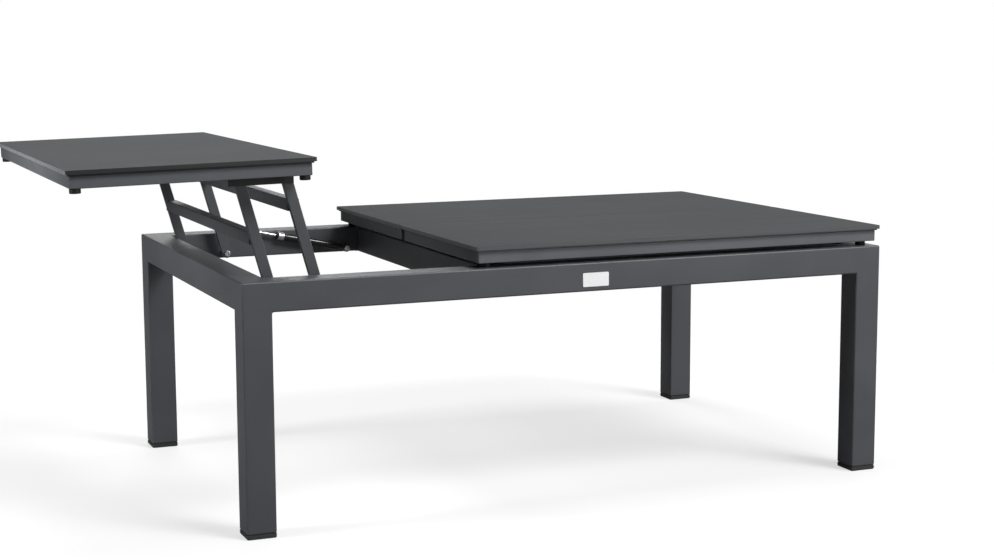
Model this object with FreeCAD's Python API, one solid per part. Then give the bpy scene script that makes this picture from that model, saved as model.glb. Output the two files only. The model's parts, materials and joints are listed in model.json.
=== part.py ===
import FreeCAD, Part
import math
import os

# A low garden table on a square-tube base frame.
# Two fixed top panels cover its right part, and a third panel over its left end is
# carried up and outwards by two arm frames. The panel is drawn in its raised place.
# X runs along the table, from the lifting end on the left to the right, Y to the rear and Z up.
# All lengths are in millimetres and all angles in degrees.

# Base frame
table_length = 1200.0
table_width = 760.0
frame_height = 420.0
profile = 50.0
profile_wall = 2.0
profile_radius = 3.0
foot_height = 8.0
foot_edge_radius = 3.0
plug_height = 18.0
plug_clearance = 0.25

# Top panels: a board on a frame of flat tubes, set down on rubber bumpers
plate_thickness = 9.0
plate_overhang = 7.0
plate_corner_radius = 4.0
plate_gap = 2.0
lift_length = 399.0
cross_rail_inset = 26.0
panel_tube_width = 15.0
panel_tube_height = 20.0
panel_tube_wall = 1.5
panel_tube_radius = 1.5
bumper_height = 8.0
bumper_diameter = 18.0
bumper_edge_radius = 1.0
bumper_setback = 10.0
bumper_end_margin = 27.0
landing_clearance = 0.3

# Plain blank plate on the front rail
badge_length = 49.0
badge_height = 24.0
badge_thickness = 1.0
badge_radius = 2.0
badge_offset = 22.0
badge_drop = 4.5

# Arm frames: a pair of flat arms joined by a square crossbar
arm_length = 218.0
arm_width = 18.0
arm_thickness = 10.0
raised_arm_angle = 105.4
closed_tip_drop = 12.15
raised_panel_sag = 1.2
pivot_drop = 38.0
first_pivot_gap = 22.0
last_pivot_gap = 13.8
crossbar_size = 20.0
crossbar_wall = 1.5
crossbar_radius = 1.5
left_crossbar_reach = 103.0
right_crossbar_reach = 157.0

# Brackets under the lifting panel
bracket_thickness = 4.0
bracket_height = 36.0
bracket_end_margin = 15.0

# Shoulder bolts, spacers and nuts
bolt_diameter = 8.0
bolt_head_diameter = 12.0
bolt_head_height = 4.5
bolt_head_radius = 1.5
bolt_socket_width = 5.0
bolt_socket_depth = 2.5
bolt_end_length = 9.0
running_clearance = 0.05
side_clearance = 0.3
open_pivot_clearance = 0.8
spacer_diameter = 14.0
nut_width = 13.0
nut_thickness = 6.0
rivet_nut_diameter = 12.0
rivet_nut_length = 7.0

# Gas strut between the rear rail and the rear right arm
strut_arm_reach = 57.0
strut_anchor_drop = 41.5
strut_anchor_gap = 25.0
strut_cylinder_diameter = 15.0
strut_cylinder_wall = 1.2
strut_cylinder_length = 114.0
strut_collar_diameter = 16.0
strut_collar_length = 13.0
strut_seal_diameter = 9.0
strut_seal_length = 4.0
strut_side_room = 1.0
strut_rod_diameter = 6.0
strut_eye_diameter = 16.0
strut_eye_thickness = 8.0
strut_neck_diameter = 7.0
strut_neck_length = 11.0
strut_plug_length = 8.0
strut_piston_length = 8.0
strut_piston_gap = 14.0
strut_rod_tip_length = 10.0

# One overrun serves every cut
overrun = 5.0

# Places along the table, measured from the middle of the base frame
left_end = -table_length / 2
right_end = table_length / 2
half_width = table_width / 2
rail_inner_y = half_width - profile
rail_bottom = frame_height - profile
lift_right = left_end + lift_length
main_left = lift_right + plate_gap
cross_rail_left = main_left + cross_rail_inset

# Heights of the closed top
panel_bottom = frame_height + bumper_height
plate_bottom = panel_bottom + panel_tube_height

# The arms stand off the rails by the room that the gas strut needs
strut_bay = strut_collar_diameter + 2 * strut_side_room
arm_outer_y = rail_inner_y - strut_bay
arm_inner_y = arm_outer_y - arm_thickness
bolt_head_y = arm_inner_y - side_clearance
bracket_inner_y = arm_outer_y + side_clearance
bracket_outer_y = bracket_inner_y + bracket_thickness
strut_y = rail_inner_y - strut_bay / 2

X_AXIS = FreeCAD.Vector(1, 0, 0)
Y_AXIS = FreeCAD.Vector(0, 1, 0)
Z_AXIS = FreeCAD.Vector(0, 0, 1)
SIDES = {"front": -1, "rear": 1}


def from_point(point, distance, angle):
    """Return the point of the XZ plane at a distance and angle from another."""
    turn = math.radians(angle)
    return (point[0] + distance * math.cos(turn), point[1] + distance * math.sin(turn))


def turned(vector, angle):
    """Return a vector of the XZ plane, turned counterclockwise as seen from the front."""
    turn = math.radians(angle)
    x, z = vector
    return (x * math.cos(turn) - z * math.sin(turn), x * math.sin(turn) + z * math.cos(turn))


def between(start, end):
    """Return the vector from one point of the XZ plane to another."""
    return (end[0] - start[0], end[1] - start[1])


def dot(a, b):
    """Return the dot product of two vectors of the XZ plane."""
    return a[0] * b[0] + a[1] * b[1]


# Linkage: the first pivot pair sets the panel's travel, and its closed angle brings the
# upper pivots to their depth below the board
pivot_height = frame_height - pivot_drop
closed_tip_rise = plate_bottom - closed_tip_drop - pivot_height
closed_arm_angle = math.degrees(math.asin(closed_tip_rise / arm_length))
left_pivot = (left_end + profile + first_pivot_gap, pivot_height)
left_tip_closed = from_point(left_pivot, arm_length, closed_arm_angle)
left_tip = from_point(left_pivot, arm_length, raised_arm_angle)

# The second pair is spaced to end short of the panel's inner end tube
panel_end_tube = lift_right - plate_overhang - panel_tube_width
pivot_spacing = panel_end_tube - last_pivot_gap - left_tip_closed[0]
right_pivot = (left_pivot[0] + pivot_spacing, pivot_height)

# Its upper pivot lies a little lower, so that the raised panel sags by the given angle
# and the same arm length still reaches it when the panel is closed and level.
closed_reach = between(right_pivot, left_tip_closed)
raised_reach = between(right_pivot, left_tip)
along = turned((1, 0), raised_panel_sag)
upward = turned((0, 1), raised_panel_sag)
reach_difference = dot(raised_reach, raised_reach) - dot(closed_reach, closed_reach)
along_difference = 2 * pivot_spacing * (closed_reach[0] - dot(raised_reach, along))
upward_difference = 2 * (closed_reach[1] - dot(raised_reach, upward))
tip_rise = (reach_difference - along_difference) / upward_difference
right_tip_closed = (left_tip_closed[0] + pivot_spacing, left_tip_closed[1] + tip_rise)
tip_offset = turned((pivot_spacing, tip_rise), raised_panel_sag)
right_tip = (left_tip[0] + tip_offset[0], left_tip[1] + tip_offset[1])
right_arm = between(right_pivot, right_tip)
right_arm_length = math.hypot(right_arm[0], right_arm[1])
right_arm_angle = math.degrees(math.atan2(right_arm[1], right_arm[0]))

# Gas strut: from its anchor on the rear rail to the rear right arm
strut_anchor = (cross_rail_left - strut_anchor_gap, frame_height - strut_anchor_drop)
strut_joint = from_point(right_pivot, strut_arm_reach, right_arm_angle)
strut_line = between(strut_anchor, strut_joint)
strut_length = math.hypot(strut_line[0], strut_line[1])
strut_angle = math.degrees(math.atan2(strut_line[1], strut_line[0]))
cylinder_start = strut_eye_diameter / 2 + strut_neck_length
cylinder_end = cylinder_start + strut_cylinder_length


def block(x, y, z):
    """Return a box from three pairs of low and high ends."""
    corner = FreeCAD.Vector(x[0], y[0], z[0])
    return Part.makeBox(x[1] - x[0], y[1] - y[0], z[1] - z[0], corner)


def edges_along(shape, axis):
    """Return the straight edges of a shape that run along one axis vector."""
    found = []
    for edge in shape.Edges:
        if edge.Curve.TypeId == "Part::GeomLine":
            if abs(edge.tangentAt(edge.FirstParameter).dot(axis)) > 0.999:
                found.append(edge)
    return found


def rounded_block(x, y, z, axis, radius):
    """Return a box whose edges along one axis are rounded."""
    body = block(x, y, z)
    return body.makeFillet(radius, edges_along(body, axis))


def tube(x, y, z, axis, wall, radius):
    """Return a box tube with rounded outer edges, open at both ends of its axis."""
    outer = rounded_block(x, y, z, axis, radius)
    spans = []
    for span, part in zip((x, y, z), (axis.x, axis.y, axis.z)):
        grow = overrun if part else -wall
        spans.append((span[0] - grow, span[1] + grow))
    return outer.cut(block(*spans))


def bar_across(point, diameter, y_start, y_end):
    """Return a round bar along Y, at a point of the XZ plane, between two Y places."""
    low, high = sorted((y_start, y_end))
    start = FreeCAD.Vector(point[0], low, point[1])
    return Part.makeCylinder(diameter / 2, high - low, start, Y_AXIS)


def base_rail(name):
    """Return one of the four mitred rails of the base frame."""
    across = table_length if name in SIDES else table_width
    depth = half_width if name in SIDES else right_end
    rail = tube(
        (-across / 2, across / 2), (-depth, profile - depth), (rail_bottom, frame_height),
        X_AXIS, profile_wall, profile_radius,
    )
    outline = [
        (-across / 2, -depth), (across / 2, -depth),
        (across / 2 - profile, profile - depth), (profile - across / 2, profile - depth),
    ]
    corners = [FreeCAD.Vector(x, y, rail_bottom) for x, y in outline]
    mitre = Part.Face(Part.makePolygon(corners + corners[:1])).extrude(Z_AXIS * profile)
    rail = rail.common(mitre)
    turn = {"front": 0, "right": 90, "rear": 180, "left": 270}[name]
    rail.rotate(FreeCAD.Vector(0, 0, 0), Z_AXIS, turn)
    outer = rounded_block(
        (left_end, right_end), (-half_width, half_width), (rail_bottom, frame_height),
        Z_AXIS, profile_radius,
    )
    return rail.common(outer)


def corner_spans(end, side):
    """Return the X and Y spans of a leg at one corner of the base frame."""
    x = (left_end, left_end + profile) if end == "left" else (right_end - profile, right_end)
    y = (-half_width, -rail_inner_y) if side == "front" else (rail_inner_y, half_width)
    return x, y


def leg(end, side):
    """Return one leg, from its foot to the underside of the rails."""
    x, y = corner_spans(end, side)
    return tube(x, y, (foot_height, rail_bottom), Z_AXIS, profile_wall, profile_radius)


def foot(end, side):
    """Return the cap of one leg, with the plug that holds it in the tube."""
    x, y = corner_spans(end, side)
    cap = rounded_block(x, y, (0, foot_height), Z_AXIS, profile_radius)
    rim = [edge for edge in cap.Edges if edge.BoundBox.ZMax < foot_height / 2]
    cap = cap.makeFillet(foot_edge_radius, rim)
    inset = profile_wall + plug_clearance
    plug = block(
        (x[0] + inset, x[1] - inset), (y[0] + inset, y[1] - inset),
        (foot_height - foot_edge_radius, foot_height + plug_height),
    )
    return cap.fuse(plug).removeSplitter()


def cross_rail():
    """Return the rail that carries the inner ends of the fixed panels."""
    return tube(
        (cross_rail_left, cross_rail_left + profile), (-rail_inner_y, rail_inner_y),
        (rail_bottom, frame_height), Y_AXIS, profile_wall, profile_radius,
    )


def middle_rail():
    """Return the lengthwise rail below the seam of the two fixed panels."""
    return tube(
        (cross_rail_left + profile, right_end - profile), (-profile / 2, profile / 2),
        (rail_bottom, frame_height), X_AXIS, profile_wall, profile_radius,
    )


def plate(x, y):
    """Return one board of the top, in its closed place."""
    top = plate_bottom + plate_thickness
    return rounded_block(x, y, (plate_bottom, top), Z_AXIS, plate_corner_radius)


def panel_tubes(x, y):
    """Return the four flat tubes under a board of given X and Y spans, by name."""
    x = (x[0] + plate_overhang, x[1] - plate_overhang)
    height = (panel_bottom, plate_bottom)
    wide = panel_tube_width
    inner = (y[0] + wide, y[1] - wide)
    spans = {
        "front": (x, (y[0], y[0] + wide), X_AXIS),
        "rear": (x, (y[1] - wide, y[1]), X_AXIS),
        "left": ((x[0], x[0] + wide), inner, Y_AXIS),
        "right": ((x[1] - wide, x[1]), inner, Y_AXIS),
    }
    return {
        name: tube(along_x, along_y, height, axis, panel_tube_wall, panel_tube_radius)
        for name, (along_x, along_y, axis) in spans.items()
    }


def bumper(x, y, bottom):
    """Return one round rubber bumper, with a rounded lower rim."""
    height = panel_bottom - bottom
    pad = Part.makeCylinder(bumper_diameter / 2, height, FreeCAD.Vector(x, y, bottom), Z_AXIS)
    rim = [edge for edge in pad.Edges if edge.BoundBox.ZMax < bottom + bumper_edge_radius]
    return pad.makeFillet(bumper_edge_radius, rim)


def main_spans(side):
    """Return the X and Y spans of a fixed board."""
    y = (-half_width, -plate_gap / 2) if side == "front" else (plate_gap / 2, half_width)
    return (main_left, right_end), y


def main_frame_y(side):
    """Return the Y span of the tube frame under a fixed board."""
    low, high = main_spans(side)[1]
    return (low + plate_overhang, high - plate_overhang)


def main_bumpers(side):
    """Return the four bumpers between the base frame and one fixed panel."""
    (low, high), _ = main_spans(side)
    outer = SIDES[side] * (half_width - profile / 2)
    inner = SIDES[side] * (plate_gap / 2 + plate_overhang + panel_tube_width / 2)
    near = low + bumper_end_margin
    far = high - bumper_end_margin
    on_cross_rail = cross_rail_left + profile / 2
    places = [(near, outer), (far, outer), (on_cross_rail, inner), (far, inner)]
    return Part.makeCompound([bumper(x, y, frame_height) for x, y in places])


def lift_frame_y():
    """Return the Y span of the tube frame under the lifting board."""
    return (plate_overhang - half_width, half_width - plate_overhang)


def lift_bumpers():
    """Return the four bumpers under the lifting panel, in its closed place."""
    near = left_end + plate_overhang + bumper_setback
    far = lift_right - plate_overhang - bumper_setback
    low, high = lift_frame_y()
    bottom = frame_height + landing_clearance
    places = [(x, y) for x in (near, far) for y in (low + bumper_setback, high - bumper_setback)]
    return Part.makeCompound([bumper(x, y, bottom) for x, y in places])


def bracket(side):
    """Return the angle that hangs the arms from one side of the lifting panel."""
    x = (left_tip_closed[0] - bracket_end_margin, panel_end_tube)
    tube_y = half_width - plate_overhang - panel_tube_width
    upright = block(x, (bracket_inner_y, bracket_outer_y), (plate_bottom - bracket_height, plate_bottom))
    flange = block(x, (bracket_inner_y, tube_y), (plate_bottom - bracket_thickness, plate_bottom))
    angle = upright.fuse(flange).removeSplitter()
    for point in (left_tip_closed, right_tip_closed):
        angle = angle.cut(bar_across(point, bolt_diameter, 0, half_width))
    if SIDES[side] < 0:
        angle = angle.mirror(FreeCAD.Vector(0, 0, 0), Y_AXIS)
    return angle


def lifted(shape):
    """Return a piece of the lifting panel, moved from its closed to its raised place."""
    centre = FreeCAD.Vector(left_tip_closed[0], 0, left_tip_closed[1])
    moved = shape.copy()
    moved.rotate(centre, Y_AXIS, -raised_panel_sag)
    rise = between(left_tip_closed, left_tip)
    moved.translate(FreeCAD.Vector(rise[0], 0, rise[1]))
    return moved


def arm(side, pivot, length, angle, tip_clearance):
    """Return one flat arm with round ends and its two pivot holes."""
    y = sorted((SIDES[side] * arm_inner_y, SIDES[side] * arm_outer_y))
    flat = block((0, length), y, (-arm_width / 2, arm_width / 2))
    for place in (0, length):
        flat = flat.fuse(bar_across((place, 0), arm_width, y[0], y[1]))
    flat = flat.removeSplitter()
    holes = {0: running_clearance, length: tip_clearance}
    for place, clearance in holes.items():
        bore = bolt_diameter + 2 * clearance
        flat = flat.cut(bar_across((place, 0), bore, -half_width, half_width))
    flat.rotate(FreeCAD.Vector(0, 0, 0), Y_AXIS, -angle)
    flat.translate(FreeCAD.Vector(pivot[0], 0, pivot[1]))
    return flat


def crossbar(pivot, angle, reach):
    """Return the square tube between the two arms of a frame, level while raised."""
    x, z = from_point(pivot, reach, angle)
    half = crossbar_size / 2
    return tube(
        (x - half, x + half), (-arm_inner_y, arm_inner_y), (z - half, z + half),
        Y_AXIS, crossbar_wall, crossbar_radius,
    )


def bolt(point, side, head_y, end_y):
    """Return a shoulder bolt whose head faces the middle of the table."""
    way = SIDES[side]
    head_top = head_y - bolt_head_height
    head = bar_across(point, bolt_head_diameter, way * head_top, way * head_y)
    rim = [edge for edge in head.Edges if abs(abs(edge.BoundBox.Center.y) - head_top) < side_clearance]
    rim = [edge for edge in rim if edge.BoundBox.YLength < side_clearance]
    head = head.makeFillet(bolt_head_radius, rim)
    corner = bolt_socket_width / math.sqrt(3)
    points = []
    for step in range(7):
        x, z = from_point(point, corner, step * 60)
        points.append(FreeCAD.Vector(x, way * (head_top - overrun), z))
    depth = way * (bolt_socket_depth + overrun)
    socket = Part.Face(Part.makePolygon(points)).extrude(Y_AXIS * depth)
    shank = bar_across(point, bolt_diameter, way * head_y, way * end_y)
    return head.cut(socket).fuse(shank).removeSplitter()


def both_sides(make):
    """Return the front and rear copies of a piece as one group of solids."""
    return Part.makeCompound([make(side) for side in SIDES])


def lower_bolts(point):
    """Return the two bolts of a lower pivot, run through the rails' inner walls."""
    end_y = rail_inner_y + bolt_end_length
    return both_sides(lambda side: bolt(point, side, bolt_head_y, end_y))


def upper_bolts(point):
    """Return the two bolts of an upper pivot, run through the brackets and nuts."""
    end_y = bracket_outer_y + nut_thickness
    return both_sides(lambda side: bolt(point, side, bolt_head_y, end_y))


def ring(point, outer, inner, y_start, y_end):
    """Return a plain ring along Y, such as a spacer."""
    body = bar_across(point, outer, y_start, y_end)
    return body.cut(bar_across(point, inner, y_start - half_width, y_end + half_width))


def pivot_spacers():
    """Return the spacers between the arms and the rails."""
    spacers = []
    for way in SIDES.values():
        for point in (left_pivot, right_pivot):
            span = (way * (arm_outer_y + side_clearance), way * rail_inner_y)
            spacers.append(ring(point, spacer_diameter, bolt_diameter, min(span), max(span)))
    return Part.makeCompound(spacers)


def rivet_nut_span(way):
    """Return the Y span of a rivet nut inside a rail's inner wall."""
    start = rail_inner_y + profile_wall
    return sorted((way * start, way * (start + rivet_nut_length)))


def rivet_nuts():
    """Return the rivet nuts that take the lower bolts and the strut's anchor bolt."""
    places = [(point, way) for way in SIDES.values() for point in (left_pivot, right_pivot)]
    places.append((strut_anchor, SIDES["rear"]))
    nuts = []
    for point, way in places:
        low, high = rivet_nut_span(way)
        nuts.append(ring(point, rivet_nut_diameter, bolt_diameter, low, high))
    return Part.makeCompound(nuts)


def bolted_rail(side):
    """Return the front or rear rail with its bolt holes."""
    rail = base_rail(side)
    way = SIDES[side]
    points = [left_pivot, right_pivot]
    if side == "rear":
        points.append(strut_anchor)
    start = way * (rail_inner_y - overrun)
    end = way * (rail_inner_y + overrun)
    for point in points:
        rail = rail.cut(bar_across(point, bolt_diameter, start, end))
    return rail


def upper_nuts():
    """Return the hexagon nuts outside the brackets, in the closed place."""
    nuts = []
    corner = nut_width / math.sqrt(3)
    for way in SIDES.values():
        for point in (left_tip_closed, right_tip_closed):
            outline = []
            for step in range(7):
                x, z = from_point(point, corner, step * 60)
                outline.append(FreeCAD.Vector(x, way * bracket_outer_y, z))
            nut = Part.Face(Part.makePolygon(outline)).extrude(Y_AXIS * way * nut_thickness)
            nuts.append(nut.cut(bar_across(point, bolt_diameter, -half_width, half_width)))
    return Part.makeCompound(nuts)


def along_strut(diameter, start, end):
    """Return a round bar on the strut's axis between two distances from its anchor."""
    place = from_point(strut_anchor, start, strut_angle)
    turn = math.radians(strut_angle)
    direction = FreeCAD.Vector(math.cos(turn), 0, math.sin(turn))
    base = FreeCAD.Vector(place[0], strut_y, place[1])
    return Part.makeCylinder(diameter / 2, end - start, base, direction)


def strut_eye(point, start, end):
    """Return an eye and the neck that joins it to the strut."""
    half = strut_eye_thickness / 2
    eye = bar_across(point, strut_eye_diameter, strut_y - half, strut_y + half)
    return eye.fuse(along_strut(strut_neck_diameter, start, end))


def strut_tail():
    """Return the fixed eye of the strut, with the plug that closes its cylinder."""
    bore = strut_cylinder_diameter - 2 * strut_cylinder_wall
    tail = strut_eye(strut_anchor, 0, cylinder_start)
    tail = tail.fuse(along_strut(bore, cylinder_start, cylinder_start + strut_plug_length)).removeSplitter()
    hole = bolt_diameter + 2 * running_clearance
    return tail.cut(bar_across(strut_anchor, hole, 0, half_width))


def strut_cylinder():
    """Return the strut's pressure tube."""
    bore = strut_cylinder_diameter - 2 * strut_cylinder_wall
    outer = along_strut(strut_cylinder_diameter, cylinder_start, cylinder_end)
    return outer.cut(along_strut(bore, cylinder_start - overrun, cylinder_end + overrun))


def strut_ring(diameter, start, length):
    """Return a ring that the strut's rod slides through."""
    bore = strut_rod_diameter + 2 * running_clearance
    return along_strut(diameter, start, start + length).cut(
        along_strut(bore, start - overrun, start + length + overrun)
    )


def rod_start():
    """Return the distance from the anchor to the rod's inner end."""
    return cylinder_end - strut_piston_gap - strut_piston_length


def strut_rod():
    """Return the rod, from its piston to the eye on the arm."""
    return along_strut(strut_rod_diameter, rod_start(), strut_length - strut_eye_diameter / 2)


def strut_piston():
    """Return the piston on the rod's inner end."""
    bore = strut_cylinder_diameter - 2 * strut_cylinder_wall
    start = rod_start()
    head = along_strut(bore - 4 * running_clearance, start, start + strut_piston_length)
    return head.cut(along_strut(strut_rod_diameter, start - overrun, start + strut_piston_length + overrun))


def strut_rod_eye():
    """Return the eye on the rod's end, with the stud that faces the arm."""
    start = strut_length - strut_eye_diameter / 2 - strut_rod_tip_length
    eye = strut_eye(strut_joint, start, strut_length)
    stud = bar_across(strut_joint, bolt_diameter, arm_outer_y + side_clearance, strut_y)
    eye = eye.fuse(stud).removeSplitter()
    return eye.cut(along_strut(strut_rod_diameter, start - overrun, start + strut_rod_tip_length))


def strut_anchor_bolt():
    """Return the bolt that holds the strut's fixed eye to the rear rail."""
    head_y = strut_y - strut_eye_thickness / 2 - side_clearance
    return bolt(strut_anchor, "rear", head_y, rail_inner_y + bolt_end_length)


def strut_anchor_spacer():
    """Return the spacer between the strut's fixed eye and the rear rail."""
    start = strut_y + strut_eye_thickness / 2 + side_clearance
    return ring(strut_anchor, spacer_diameter, bolt_diameter, start, rail_inner_y)


def badge():
    """Return the plain blank plate on the front rail."""
    middle = (rail_bottom + frame_height) / 2 - badge_drop
    return rounded_block(
        (badge_offset - badge_length / 2, badge_offset + badge_length / 2),
        (-half_width - badge_thickness, -half_width),
        (middle - badge_height / 2, middle + badge_height / 2), Y_AXIS, badge_radius,
    )


def base_pieces():
    """Return the pieces of the base frame, by node name."""
    pieces = {"rail_left": base_rail("left"), "rail_right": base_rail("right")}
    for side in SIDES:
        pieces["rail_" + side] = bolted_rail(side)
        for end in ("left", "right"):
            pieces["leg_" + side + "_" + end] = leg(end, side)
            pieces["foot_" + side + "_" + end] = foot(end, side)
    pieces["rail_cross"] = cross_rail()
    pieces["rail_middle"] = middle_rail()
    pieces["blank_badge"] = badge()
    return pieces


def fixed_top_pieces():
    """Return the pieces of the two fixed panels, by node name."""
    pieces = {}
    for side in SIDES:
        x, y = main_spans(side)
        pieces["fixed_board_" + side] = plate(x, y)
        for name, shape in panel_tubes(x, main_frame_y(side)).items():
            pieces["fixed_" + side + "_tube_" + name] = shape
        pieces["fixed_bumpers_" + side] = main_bumpers(side)
    return pieces


def lift_top_pieces():
    """Return the pieces of the lifting panel in its raised place, by node name."""
    x = (left_end, lift_right)
    pieces = {"lift_board": plate(x, (-half_width, half_width))}
    for name, shape in panel_tubes(x, lift_frame_y()).items():
        pieces["lift_tube_" + name] = shape
    pieces["lift_bumpers"] = lift_bumpers()
    for side in SIDES:
        pieces["lift_bracket_" + side] = bracket(side)
    pieces["upper_bolts_left"] = upper_bolts(left_tip_closed)
    pieces["upper_bolts_right"] = upper_bolts(right_tip_closed)
    pieces["upper_nuts"] = upper_nuts()
    return {name: lifted(shape) for name, shape in pieces.items()}


def arm_frame_pieces():
    """Return the two arm frames and their lower pivots, by node name."""
    left = (left_pivot, arm_length, raised_arm_angle, left_crossbar_reach, running_clearance)
    right = (right_pivot, right_arm_length, right_arm_angle, right_crossbar_reach, open_pivot_clearance)
    pieces = {}
    for name, frame in (("left", left), ("right", right)):
        pivot, length, angle, reach, clearance = frame
        for side in SIDES:
            pieces["arm_" + name + "_" + side] = arm(side, pivot, length, angle, clearance)
        pieces["crossbar_" + name] = crossbar(pivot, angle, reach)
        pieces["lower_bolts_" + name] = lower_bolts(pivot)
    pieces["pivot_spacers"] = pivot_spacers()
    pieces["rivet_nuts"] = rivet_nuts()
    return pieces


def strut_pieces():
    """Return the gas strut and its anchor, by node name."""
    seal_start = cylinder_end + strut_collar_length
    return {
        "strut_tail_eye": strut_tail(),
        "strut_cylinder": strut_cylinder(),
        "strut_collar": strut_ring(strut_collar_diameter, cylinder_end, strut_collar_length),
        "strut_seal": strut_ring(strut_seal_diameter, seal_start, strut_seal_length),
        "strut_rod": strut_rod(),
        "strut_piston": strut_piston(),
        "strut_rod_eye": strut_rod_eye(),
        "strut_anchor_bolt": strut_anchor_bolt(),
        "strut_anchor_spacer": strut_anchor_spacer(),
    }


def main():
    """Build every piece, centre the table over its origin and write one file each."""
    pieces = {}
    for group in (base_pieces, fixed_top_pieces, lift_top_pieces, arm_frame_pieces, strut_pieces):
        pieces.update(group())
    low = min(shape.BoundBox.XMin for shape in pieces.values())
    high = max(shape.BoundBox.XMax for shape in pieces.values())
    shift = -(low + high) / 2
    os.makedirs("parts", exist_ok=True)
    for name, shape in pieces.items():
        shape.translate(FreeCAD.Vector(shift, 0, 0))
        shape.exportStep("parts/" + name + ".step")
        print(name, shape.isValid(), len(shape.Solids), round(shape.Volume))
    for name, point in (
        ("left pivot", left_pivot), ("left tip", left_tip), ("right pivot", right_pivot),
        ("right tip", right_tip), ("strut anchor", strut_anchor), ("strut joint", strut_joint),
    ):
        print(name, round(point[0] + shift, 3), round(point[1], 3))
    print("shift", round(shift, 3), "length", round(high - low, 3), "strut", round(strut_length, 3))
    print("right arm", round(right_arm_length, 3), "at", round(right_arm_angle, 4))


main()
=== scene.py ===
"""Visual model of a lift-top garden table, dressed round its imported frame.

The table stands on a welded frame of square tube. Two fixed panels cover its right part, and a
third panel is carried up and outwards over its left end by two pairs of arms and a gas strut.
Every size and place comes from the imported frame; what the frame can't tell is a named field of
the sub-assembly that carries it. Lengths are in metres and angles in degrees.
"""

import json
import logging
import math
from contextlib import contextmanager
from dataclasses import dataclass, field
from enum import Enum
from typing import Callable, Iterator

import bmesh
import bpy
from mathutils import Matrix, Vector


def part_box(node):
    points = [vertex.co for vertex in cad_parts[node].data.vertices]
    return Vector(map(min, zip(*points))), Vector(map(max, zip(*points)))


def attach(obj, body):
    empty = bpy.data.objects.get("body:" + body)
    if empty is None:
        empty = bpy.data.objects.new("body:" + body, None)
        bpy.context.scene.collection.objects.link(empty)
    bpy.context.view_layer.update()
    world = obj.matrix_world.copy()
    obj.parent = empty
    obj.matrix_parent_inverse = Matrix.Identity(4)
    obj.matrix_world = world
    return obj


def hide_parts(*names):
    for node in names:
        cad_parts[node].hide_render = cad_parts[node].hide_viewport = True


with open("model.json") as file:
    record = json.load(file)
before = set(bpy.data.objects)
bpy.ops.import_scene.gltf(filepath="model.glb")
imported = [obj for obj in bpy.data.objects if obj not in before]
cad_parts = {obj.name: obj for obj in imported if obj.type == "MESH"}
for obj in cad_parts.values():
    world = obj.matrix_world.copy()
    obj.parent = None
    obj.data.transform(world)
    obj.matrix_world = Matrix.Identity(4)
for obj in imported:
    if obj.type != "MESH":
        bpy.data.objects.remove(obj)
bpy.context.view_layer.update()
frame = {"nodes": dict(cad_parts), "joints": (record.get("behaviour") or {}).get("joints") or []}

log = logging.getLogger("garden_table")

Piece = bpy.types.Object
Socket = bpy.types.NodeSocket
Colour = tuple[float, float, float, float]
Profile = list[tuple[float, float]]
Rule = Callable[[Vector, Vector], bool]

# Least share of a direction that lies along an axis, for it to count as along that axis.
ALONG = 0.9
# The same share for faces that have to be told from the first step of a round edge.
EXACTLY_ALONG = 0.99
# The range that a noise pattern mostly keeps to.
NOISE_RANGE = (0.3, 0.7)
# How far in the middle point of an eased rim lies, as a share of the easing.
EASE_SHARE = 0.3


class Body(Enum):
    """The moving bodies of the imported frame."""

    BASE = "base"
    LEFT_ARMS = "left_arm_frame"
    RIGHT_ARMS = "right_arm_frame"
    LIFT_TOP = "lift_top"
    STRUT_TUBE = "strut_cylinder"
    STRUT_ROD = "strut_rod"


class Slot(Enum):
    """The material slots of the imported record."""

    FRAME = "frame_paint"
    BOARD = "top_board"
    FOOT = "foot_cap"
    RUBBER = "rubber_pad"
    PLATE = "plain_plate"
    STEEL = "bright_steel"
    ROD = "polished_rod"
    STRUT = "strut_black"


class Place(Enum):
    """A side or an end of the table, with the sign of its axis."""

    @property
    def word(self) -> str:
        """Return the place's name as the nodes spell it."""
        return self.name.lower()


class Side(Place):
    """The two long sides of the table, along Y."""

    FRONT = -1
    REAR = 1


class End(Place):
    """The two short ends of the table, along X."""

    LEFT = -1
    RIGHT = 1


class Panel(Enum):
    """The three panels of the top, with the start of their nodes' names."""

    FRONT = "fixed_front"
    REAR = "fixed_rear"
    LIFT = "lift"

    def node(self, thing: str) -> str:
        """Return the name of the node that is one thing of the panel.

        Args:
            thing: The thing: board or bumpers.

        Returns:
            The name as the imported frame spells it.
        """
        if self is Panel.LIFT:
            return f"lift_{thing}"
        return self.value.replace("fixed", f"fixed_{thing}")

    @property
    def tubes(self) -> list[str]:
        """Return the names of the four tubes under the panel's board."""
        return [f"{self.value}_tube_{place.word}" for place in (*Side, *End)]


class Axis(Enum):
    """The three axes, by their index."""

    X = 0
    Y = 1
    Z = 2


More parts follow.
